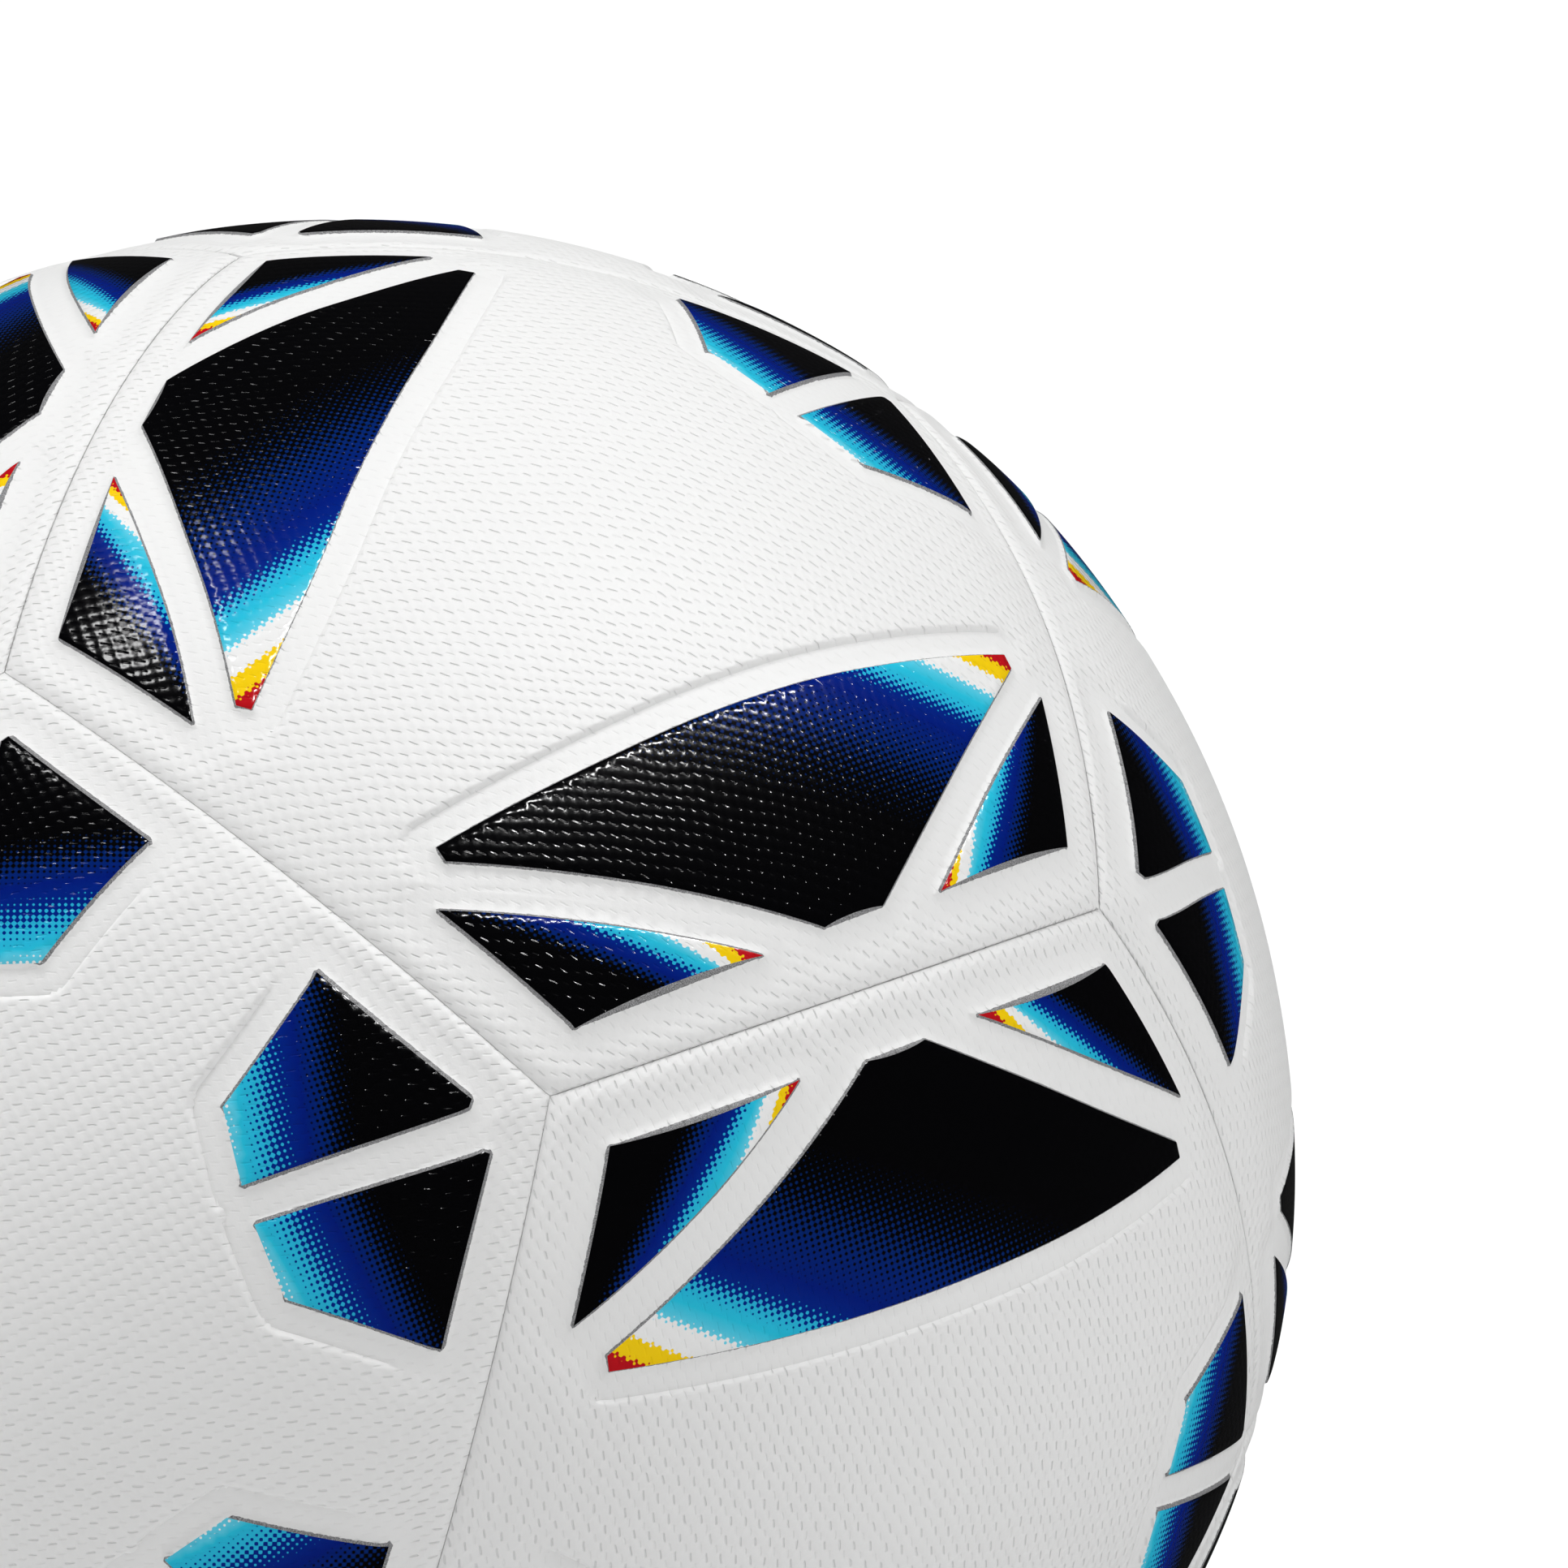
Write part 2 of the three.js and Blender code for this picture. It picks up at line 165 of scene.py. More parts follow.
# A blown-up ball isn't a true sphere. How far its surface stands off the even one, along an
# arc from the top over the right (+X) side: (direction x, y, z, height in mm).
UNEVEN_REACH = 5.5 * DEG
UNEVEN_FADE = 0.35                 # weight of the even ball
UNEVEN = np.array([
    (-0.267, -0.064, 0.962, 0.24), (-0.206, -0.034, 0.978, 0.00), (-0.144, -0.004, 0.990, -0.38),
    (-0.082, 0.025, 0.996, -0.47), (-0.018, 0.054, 0.998, -0.47), (0.045, 0.083, 0.996, -0.42),
    (0.108, 0.110, 0.988, -0.57), (0.171, 0.137, 0.976, -0.28), (0.234, 0.163, 0.959, -0.14),
    (0.295, 0.187, 0.937, -0.28), (0.355, 0.210, 0.911, -0.19), (0.414, 0.232, 0.880, -0.19),
    (0.471, 0.253, 0.845, 0.19), (0.525, 0.272, 0.806, 0.42), (0.577, 0.289, 0.764, 0.47),
    (0.627, 0.304, 0.717, 0.47), (0.674, 0.318, 0.667, 0.47), (0.717, 0.330, 0.614, 0.28),
    (0.757, 0.339, 0.558, 0.00), (0.794, 0.347, 0.499, -0.19), (0.827, 0.353, 0.438, -0.09),
    (0.856, 0.356, 0.375, -0.24), (0.881, 0.358, 0.310, -0.28), (0.902, 0.357, 0.243, -0.38),
    (0.918, 0.355, 0.176, -0.42), (0.931, 0.350, 0.108, -0.38), (0.939, 0.343, 0.039, -0.38),
    (0.942, 0.334, -0.030, 0.00), (0.941, 0.323, -0.099, 0.00), (0.936, 0.311, -0.167, -0.09),
    (0.926, 0.296, -0.234, 0.19), (0.912, 0.280, -0.301, 0.09), (0.893, 0.262, -0.365, 0.19),
    (0.871, 0.242, -0.428, 0.14)])

# ------------------------------------------------------------------------------------------
# Printed fields
# A field is a counter-clockwise loop of sides: (start corner, inward bow of the raised
# plateau's side, extra inward bow of the colour's side, width of silver down its wall).
# The silver ground shows between plateau side and colour side.
# ------------------------------------------------------------------------------------------
KITE = [((-45.6, -29.6), 0, 0, .28), ((-45.6, -31.7), .9, 0, .28), ((-4.4, -58.1), 0, .45, .22),
        ((5.0, -57.9), 1.25, 0, .30), ((45.3, -30.5), 0, 0, .16), ((45.2, -28.5), -1.9, 0, .13)]
TRI_A = [((-50.0, -37.2), .1, 0, .40), ((-42.4, -59.5), 0, 1.0, .10), ((-14.1, -58.9), -.6, 0, .34)]
TRI_B = [((42.6, -57.9), .1, 0, .36), ((49.6, -35.3), -1.4, 0, .34), ((14.9, -58.5), 0, .8, .10)]
QUAD_R = [((2.35, 38.2), 0, 0, .0), ((11.6, 38.9), .15, 0, .36), ((24.4, 55.9), .2, 0, .62),
          ((3.7, 71.2), 0, 0, .4), ((3.0, 70.3), 0, 0, .42)]
QUAD_L = [((-2.35, 38.2), 0, 0, .42), ((-3.0, 70.3), 0, 0, .4), ((-3.7, 71.2), .2, 0, .62),
          ((-24.4, 55.9), .15, 0, .36), ((-11.6, 38.9), 0, 0, .0)]


def parallel_stops(values, normal):
    """Stop lines square to a normal, one for each value of position . normal."""
    normal = np.array(normal, float)
    tangent = np.array([-normal[1], normal[0]])
    feet = [normal * value / (normal @ normal) for value in values]
    return [(foot, foot + tangent) for foot in feet]


# Colour stops across a field, each a line through two points. A point between two lines
# takes a value between their numbers: 0 black ends, 1 full blue, 2 cyan starts, 3 full cyan,
# 4 white starts, 5 full white, 6 yellow starts, 7 red starts, 8 full red.
KITE_STOPS = parallel_stops([-33.5, -18.5, -16.6, -12.6, -10.1, -8.8, -6.5, -3.9, -2.6],
                            (.515, .857))
TRI_A_STOPS = [
    ((-46, -41), (-30, -58)), ((-39.5, -43.5), (-26.5, -58)), ((-37.5, -44.3), (-25.3, -58)),
    ((-30.5, -49), (-21.8, -58)), ((-26, -51.5), (-21, -58)), ((-24, -53), (-20.2, -58)),
    ((-21.5, -54.4), (-19.2, -58)), ((-18.3, -56), (-17.3, -58.4)), ((-17, -56.8), (-16, -58.8))]
TRI_B_STOPS = [
    ((46, -38), (32, -57.5)), ((39.2, -42), (26.3, -57.5)), ((37.6, -43), (25, -57.6)),
    ((31, -46.8), (21.5, -57.8)), ((25.5, -50.4), (20.7, -57.8)), ((23.5, -51.6), (19.8, -57.9)),
    ((20.8, -53.8), (18, -58)), ((18.4, -55.6), (16.9, -58.3)), ((17.2, -56.4), (15.8, -58.5))]
QUAD_VALUES = [53, 46.6, 45.4, 38.6, 38.2, 33.8, 29, 20, 10]

SIDE_FIELDS = [(KITE, KITE_STOPS), (TRI_A, TRI_A_STOPS), (TRI_B, TRI_B_STOPS)]
CORNER_FIELDS = [(QUAD_R, parallel_stops(QUAD_VALUES, (-.2, 1))),
                 (QUAD_L, parallel_stops(QUAD_VALUES, (.2, 1)))]
# (sides, stops, turn in degrees) of every field of a panel
RING_FIELDS = ([(*field, turn) for turn in (72, -72) for field in SIDE_FIELDS]
               + [(*field, 0) for field in CORNER_FIELDS])
POLE_FIELDS = [(*field, 72 * k) for k in range(5) for field in CORNER_FIELDS]


def rotated(points, degrees):
    cos, sin = math.cos(degrees * DEG), math.sin(degrees * DEG)
    x, y = points[..., 0], points[..., 1]
    return np.stack([x * cos - y * sin, x * sin + y * cos], -1)


def arc(start, end, bow):
    """Points from start up to, not including, end, bowed to the left."""
    start, end = np.array(start, float), np.array(end, float)
    chord = end - start
    length = np.linalg.norm(chord)
    count = max(1, int(round(length / ARC_STEP)))
    t = np.arange(count)[:, None] / count
    left = np.array([-chord[1], chord[0]]) / length
    return start + chord * t + left * (bow * 4 * t * (1 - t))


def field_loop(sides, colour):
    """Outline of a field's colour or of its plateau, and the silver width along it."""
    points, silver = [], []
    for i, (start, bow, extra, width) in enumerate(sides):
        end = sides[(i + 1) % len(sides)][0]
        side = arc(start, end, bow + (extra if colour else 0))
        points.append(side)
        silver.append(np.full(len(side), width))
    return np.concatenate(points), np.concatenate(silver)


def make_fields(kind):
    fields = []
    for sides, stops, turn in RING_FIELDS if kind == "ring" else POLE_FIELDS:
        colour, _ = field_loop(sides, True)
        plateau, silver = field_loop(sides, False)
        fields.append(dict(colour=rotated(colour, turn), plateau=rotated(plateau, turn),
                           silver=silver, stops=stops, turn=turn))
    return fields


def loop_distance(points, loop, widths):
    """Signed distance to a closed loop, negative inside, and the width at the nearest place."""
    starts, ends = loop, np.roll(loop, -1, 0)
    steps = ends - starts
    lengths2 = (steps * steps).sum(1)
    best = np.full(len(points), 1e9)
    best_width = np.zeros(len(points))
    inside = np.zeros(len(points), bool)
    for start, end, step, length2, width in zip(starts, ends, steps, lengths2, widths):
        offset = points - start
        t = np.clip((offset @ step) / length2, 0, 1)
        gap = offset - t[:, None] * step
        distance = np.hypot(gap[:, 0], gap[:, 1])
        near = distance < best
        best[near] = distance[near]
        best_width[near] = width
        # Each crossing of a ray towards +x swaps inside and outside.
        spans = (start[1] > points[:, 1]) != (end[1] > points[:, 1])
        with np.errstate(divide="ignore", invalid="ignore"):
            x = start[0] + (points[:, 1] - start[1]) * step[0] / step[1]
        inside ^= spans & (points[:, 0] < x)
    return np.where(inside, -best, best), best_width


def stop_value(points, stops):
    """Where points lie among the colour stops, from -1 up."""
    middles = [np.add(*line) / 2 for line in stops]
    last = len(stops) - 1
    past = []
    for i, (start, end) in enumerate(stops):
        start = np.array(start, float)
        along = np.array(end, float) - start
        normal = np.array([-along[1], along[0]]) / np.linalg.norm(along)
        # Every distance grows towards the later stops.
        other = i + 1 if i < last else i - 1
        if ((middles[other] - start) @ normal < 0) == (other > i):
            normal = -normal
        past.append((points - start) @ normal)
    first_gap = np.abs(past[0] - past[1]).mean()
    value = np.clip(past[0] / max(first_gap, 1e-6), -1, 0)
    for i in range(last):
        share = np.clip(past[i] / np.maximum(past[i] - past[i + 1], 1e-6), 0, 1)
        value = np.where(past[i] > 0, i + share, value)
    return value


# ------------------------------------------------------------------------------------------
# Surface shape
# ------------------------------------------------------------------------------------------
def smoothstep(low, high, x):
    t = np.clip((x - low) / (high - low), 0, 1)
    return t * t * (3 - 2 * t)


def seam_distance(points):
    """Distance over the ball to the nearest seam, plain and with rounded corners."""
    rays = np.concatenate([points / BALL_RADIUS, np.ones((len(points), 1))], 1)
    rays /= np.linalg.norm(rays, axis=1, keepdims=True)
    sides = []
    for k in range(5):
        angle = (90 + 36 + 72 * k) * DEG
        # The seam's plane goes through the ball's centre and the side of the pentagon.
        normal = np.array([-math.cos(angle) * math.cos(EDGE_MID),
                           -math.sin(angle) * math.cos(EDGE_MID), math.sin(EDGE_MID)])
        sides.append(BALL_RADIUS * np.arcsin(np.clip(rays @ normal, -1, 1)))
    sides = np.array(sides)
    nearest = sides.min(0)
    spread = np.exp(-(sides - nearest) / SEAM_ROUNDING).sum(0)
    return nearest, nearest - SEAM_ROUNDING * np.log(spread)


def outer_radius(points, plateau, has_hole):
    """Radius of the outer face; plateau is the distance outside the nearest plateau."""
    seam, rounded = seam_distance(points)
    rounded = np.maximum(rounded, 0.01)
    groove = GROOVE_DEPTH * np.clip(1 - rounded / GROOVE_RUN, 0, 1) ** 2
    shoulder = SHOULDER_DEPTH * np.exp(-(rounded / SHOULDER_RUN) ** 2)
    # Channel round the fields: down its wall, a flat floor, and out again. Towards a seam it
    # runs out softly.
    inner = smoothstep(0, WALL, plateau)
    seamside = 1 - smoothstep(*SEAMSIDE, seam)
    sharp = 1 - smoothstep(*CHANNEL_END, plateau)
    soft = 1 - smoothstep(*SOFT_END, plateau)
    outer = sharp * (1 - seamside) + soft * seamside
    line = LINE_DEPTH * np.exp(-((plateau - LINE_AT) / LINE_RUN) ** 2) * (1 - seamside)
    radius = BALL_RADIUS - groove - shoulder - RELIEF * inner * outer - line
    if has_hole:
        from_centre = np.hypot(points[:, 0], points[:, 1])
        lip = np.clip((HOLE_ROUND - (from_centre - HOLE_RADIUS)) / HOLE_ROUND, 0, 1)
        radius -= HOLE_DROP * (1 - np.sqrt(np.maximum(1 - lip * lip, 0)))
    return radius


def settle(points, seam, name):
    """Moves the print of one panel by its own small offsets; the seams stay where they are."""
    usual = RING_OFFSETS if "ring" in name else NO_OFFSETS
    rows = np.array(OFFSETS.get(name, usual))
    distance2 = ((points[:, None, :] - rows[None, :, :2]) ** 2).sum(2)
    weight = np.exp(-distance2 / (2 * OFFSET_REACH ** 2)) + 1e-5
    move = (weight[:, :, None] * rows[None, :, 2:]).sum(1) / weight.sum(1, keepdims=True)
    return points + move * smoothstep(*OFFSET_FADE, seam)[:, None]


def puff(points):
    """Moves points of the outer surface (m) in or out by the ball's own unevenness."""
    radius = np.linalg.norm(points, axis=1)
    rays = points / radius[:, None]
    ring = UNEVEN[:, :3] / np.linalg.norm(UNEVEN[:, :3], axis=1)[:, None]
    weight = np.exp((rays @ ring.T - 1) / UNEVEN_REACH ** 2)
    move = (weight * UNEVEN[:, 3]).sum(1) / (weight.sum(1) + UNEVEN_FADE)
    least = np.minimum(radius, (SKIN_BOTTOM + LEAST_SKIN) / MM)
    return rays * np.maximum(radius + move / MM, least)[:, None]


def flatten_foot(points):
    """The ball stands on a small flat, eased into the curve round it."""
    z = points[:, 2] * MM
    points[:, 2] = np.where(z < FOOT_Z, FOOT_Z + (z - FOOT_Z) * FOOT_BULGE, z) / MM


def panel_axes(centre, corner):
    """Directions of x and y on a panel's plane."""
    up = corner - centre * (corner @ centre)
    up /= np.linalg.norm(up)
    return np.cross(up, centre), up


def to_ball(points, radius, centre, right, up):
    """Points of a panel's plane laid on the ball at a radius, in metres."""
    rays = (centre[None] + (points[:, :1] / BALL_RADIUS) * right[None]
            + (points[:, 1:2] / BALL_RADIUS) * up[None])
    rays /= np.linalg.norm(rays, axis=1, keepdims=True)
    return rays * np.asarray(radius).reshape(-1, 1) / MM


# ------------------------------------------------------------------------------------------
# Flat triangulations of the panels
# ------------------------------------------------------------------------------------------
def offset_points(loop, distance, spacing):
    """Points at a distance outside a loop, fanned round its corners."""
    ends = np.roll(loop, -1, 0)
    points = []
    for i, (start, end) in enumerate(zip(loop, ends)):
        step, before = end - start, start - loop[i - 1]
        normal = np.array([step[1], -step[0]]) / np.linalg.norm(step)
        previous = np.array([before[1], -before[0]]) / np.linalg.norm(before)
        turn = math.atan2(previous[0] * normal[1] - previous[1] * normal[0], previous @ normal)
        if turn > 0.15:
            count = max(1, int(turn * distance / spacing))
            for k in range(count + 1):
                cos, sin = math.cos(turn * k / count), math.sin(turn * k / count)
                points.append(start + distance * np.array(
                    [previous[0] * cos - previous[1] * sin,
                     previous[0] * sin + previous[1] * cos]))
        else:
            points.append(start + distance * normal)
        points.append((start + end) / 2 + distance * normal)
    return np.array(points)


def cell_of(x, y, size):
    return int(math.floor(x / size)), int(math.floor(y / size))


def thin(points, spacing, taken):
    """Keeps points that lie a spacing from the kept ones of nearby cells, in order.

    taken holds the kept points by cell. Each call's cells are as wide as its own spacing,
    so points kept at another spacing are only found where the cell numbers meet.
    """
    kept = []
    for x, y in points:
        i, j = cell_of(x, y, spacing)
        crowded = any((near_x - x) ** 2 + (near_y - y) ** 2 < spacing * spacing
                      for di in (-1, 0, 1) for dj in (-1, 0, 1)
                      for near_x, near_y in taken.get((i + di, j + dj), ()))
        if not crowded:
            taken.setdefault((i, j), []).append((x, y))
            kept.append((x, y))
    return kept


def regrid(taken, spacing):
    """The kept points sorted into cells of another size."""
    cells = {}
    for points in taken.values():
        for point in points:
            cells.setdefault(cell_of(*point, spacing), []).append(point)
    return cells


def hex_grid(step, row_ratio, spare_rows, seam_gap, hole_gap):
    """Staggered grid clear of the seams and, if hole_gap isn't None, of the valve hole."""
    count = int(CORNER_RADIUS / step) + spare_rows
    grid = np.array([((i + 0.5 * (j % 2)) * step, j * step * row_ratio)
                     for j in range(-count, count + 1) for i in range(-count, count + 1)])
    keep = seam_distance(grid)[0] > seam_gap
    if hole_gap is not None:
        keep &= np.hypot(grid[:, 0], grid[:, 1]) > hole_gap
    return grid[keep]


def triangulate(verts, edges, has_hole, least_area=0.0):
    """Points, counter-clockwise triangles, and the new index of each given vertex."""
    result = delaunay_2d_cdt([Vector(v) for v in verts], edges, [], 0, 1e-5, True)
    points = np.array([tuple(v) for v in result[0]])
    tris = np.array([face for face in result[2] if len(face) == 3])
    if has_hole:
        middle = points[tris].mean(1)
        tris = tris[np.hypot(middle[:, 0], middle[:, 1]) > HOLE_RADIUS - 0.02]
    first, second = points[tris[:, 1]] - points[tris[:, 0]], points[tris[:, 2]] - points[tris[:, 0]]
    area = first[:, 0] * second[:, 1] - first[:, 1] * second[:, 0]
    keep = np.abs(area) >= least_area
    tris, area = tris[keep], area[keep]
    tris[area < 0] = tris[area < 0][:, ::-1]
    return points, tris, {old: new for new, olds in enumerate(result[3]) for old in olds}


class Drawing:
    """Vertices and edges that a triangulation has to follow."""

    def __init__(self):
        self.verts, self.edges = [], []

    def add_loop(self, loop):
        """Adds a closed loop and returns the index of its first vertex."""
        start, count = len(self.verts), len(loop)
        self.verts.extend(map(tuple, loop))
        self.edges.extend((start + i, start + (i + 1) % count) for i in range(count))
        return start

    def add_field(self, field):
        """Adds a plateau's loop and the stretch of colour outline that leaves it."""
        plateau, colour = field["plateau"], field["colour"]
        start, count = self.add_loop(plateau), len(plateau)
        apart = np.where(np.abs(plateau - colour).max(1) > 1e-6)[0]
        if not len(apart):
            return
        # The ends of the stretch are the plateau's own corners.
        chain = [start + (apart[0] - 1) % count]
        for i in range(apart[0], apart[-1] + 1):
            self.verts.append(tuple(colour[i]))
            chain.append(len(self.verts) - 1)
        chain.append(start + (apart[-1] + 1) % count)
        self.edges.extend(zip(chain[:-1], chain[1:]))


def panel_rim():
    """Outline of the pentagon, its points evenly spaced over the ball."""
    corners = [np.array([CORNER_RADIUS * math.cos((90 + 72 * k) * DEG),
                         CORNER_RADIUS * math.sin((90 + 72 * k) * DEG)]) for k in range(5)]
    half = math.atan(CORNER_RADIUS * math.sin(36 * DEG) / SIDE_REACH)
    rim = []
    for k in range(5):
        start, end = corners[k], corners[(k + 1) % 5]
        middle, along = (start + end) / 2, (end - start) / np.linalg.norm(end - start)
        for j in range(SIDE_POINTS):
            rim.append(middle + along * (math.tan(-half + 2 * half * j / SIDE_POINTS) * SIDE_REACH))
    return np.array(rim)


def inset(distance):
    """Scale that draws the rim in by a distance."""
    return 1 - distance / (BALL_RADIUS * math.sin(EDGE_MID))


def circle(radius):
    angles = np.arange(HOLE_POINTS) * TAU / HOLE_POINTS
    return np.stack([radius * np.cos(angles), radius * np.sin(angles)], 1)


def field_looks(points, fields):
    """What the material needs at each point, taken from the nearest field."""
    count = len(points)
    colour, plateau = np.full(count, 1e9), np.full(count, 1e9)
    silver, stop = np.zeros(count), np.zeros(count)
    local = points.copy()
    for field in fields:
        to_colour, _ = loop_distance(points, field["colour"], field["silver"])
        to_plateau, width = loop_distance(points, field["plateau"], field["silver"])
        near = to_plateau < plateau
        own = rotated(points, -field["turn"])
        colour[near], plateau[near] = to_colour[near], to_plateau[near]
        silver[near], stop[near] = width[near], stop_value(own, field["stops"])[near]
        local[near] = own[near]
    # Vertices on an outline sit exactly on it.
    colour[np.abs(colour) < 1e-3] = 0
    plateau[np.abs(plateau) < 1e-3] = 0
    return dict(colour=colour, plateau=plateau, silver=silver, stop=stop, local=local)


def outer_face(kind):
    """A panel's outer face: a mesh that follows every field outline, with its looks."""
    has_hole = kind == "valve"
    fields = make_fields(kind)
    drawing = Drawing()
    rim = panel_rim()
    rim_start = drawing.add_loop(rim * inset(SEAM_HALF))
    for field in fields:
        drawing.add_field(field)
    taken = {}
    thin(drawing.verts, 0.34, taken)
    extra = []
    for field in fields:
        for distances, spacing in FIELD_ROWS:
            for distance in distances:
                row = offset_points(field["plateau"], distance, spacing)
                extra += thin(row, 0.23, taken)
    for distance in SEAM_ROWS:
        extra += thin(rim * inset(distance), 0.11 if distance < 1 else 0.4, taken)
    if has_hole:
        edge = circle(HOLE_RADIUS)
        hole_start = drawing.add_loop(edge)
        thin(edge, 0.1, taken)
        for radius in HOLE_ROWS:
            extra += thin(circle(radius), 0.12, taken)
    grid = hex_grid(FINE, FINE_ROW, 2, 2.0, 6.2 if has_hole else None)
    spacing = FINE * .6
    extra += thin(grid, spacing, regrid(taken, spacing))

    points, tris, index = triangulate(drawing.verts + extra, drawing.edges, has_hole, 1e-7)
    face = field_looks(points, fields)
    face.update(
        points=points, tris=tris,
        rim=[index[rim_start + i] for i in range(len(rim))],
        hole=[index[hole_start + i] for i in range(HOLE_POINTS)] if has_hole else [],
        radius=outer_radius(points, np.maximum(face["plateau"], 0), has_hole),
        seam=seam_distance(points)[0])
    return face


def inner_face(outer):
    """Inner face of a skin: the same rim and hole, with few points between."""
    has_hole = bool(outer["hole"])
    drawing = Drawing()
    for key in ("rim", "hole"):
        drawing.add_loop([outer["points"][i] for i in outer[key]])
    grid = hex_grid(COARSE, COARSE_ROW, 1, 3.0, 8 if has_hole else None)
    verts = drawing.verts + [tuple(v) for v in grid]
    points, tris, index = triangulate(verts, drawing.edges, has_hole)
    count = len(outer["rim"])
    return dict(points=points, tris=tris, rim=[index[i] for i in range(count)],
                hole=[index[count + i] for i in range(len(outer["hole"]))])


# ------------------------------------------------------------------------------------------
# Mesh helpers
# ------------------------------------------------------------------------------------------
def new_mesh(name, verts, faces, smooth=True):
    mesh = bpy.data.meshes.new(name)
    mesh.from_pydata([tuple(v) for v in verts], [], [tuple(int(i) for i in f) for f in faces])
    mesh.update()
    if smooth:
        mesh.polygons.foreach_set("use_smooth", [True] * len(mesh.polygons))
    return add_object(name, mesh)


def add_object(name, data):
    obj = bpy.data.objects.new(name, data)
    bpy.context.scene.collection.objects.link(obj)
    return obj


def orient_faces(mesh, sharp_angle=None):
    """Turns the normals outward; edges bent by more than sharp_angle become sharp."""
    work = bmesh.new()
    work.from_mesh(mesh)
    if sharp_angle is not None:
        for edge in work.edges:
            if len(edge.link_faces) == 2 and edge.calc_face_angle(0) > sharp_angle:
                edge.smooth = False
    bmesh.ops.recalc_face_normals(work, faces=work.faces)
    work.to_mesh(mesh)
    work.free()


def finish_piece(obj, material, rides, node):
    obj.data.materials.append(material)
    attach(obj, rides)
    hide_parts(node)


# ------------------------------------------------------------------------------------------
# Shader graphs
# ------------------------------------------------------------------------------------------
class Value:
    """A node's output. Arithmetic on it adds Math nodes to its graph."""

    def __init__(self, graph, socket):
        self.graph, self.socket = graph, socket

    def __add__(self, other):
        return self.graph.math("ADD", self, other)

    def __radd__(self, other):
        return self.graph.math("ADD", other, self)

    def __sub__(self, other):
        return self.graph.math("SUBTRACT", self, other)

    def __rsub__(self, other):
        return self.graph.math("SUBTRACT", other, self)

    def __mul__(self, other):
        return self.graph.math("MULTIPLY", self, other)

    def __truediv__(self, other):
        return self.graph.math("DIVIDE", self, other)

    def clamped(self):
        """Limits the Math node that makes this value to 0..1."""
        self.socket.node.use_clamp = True
        return self


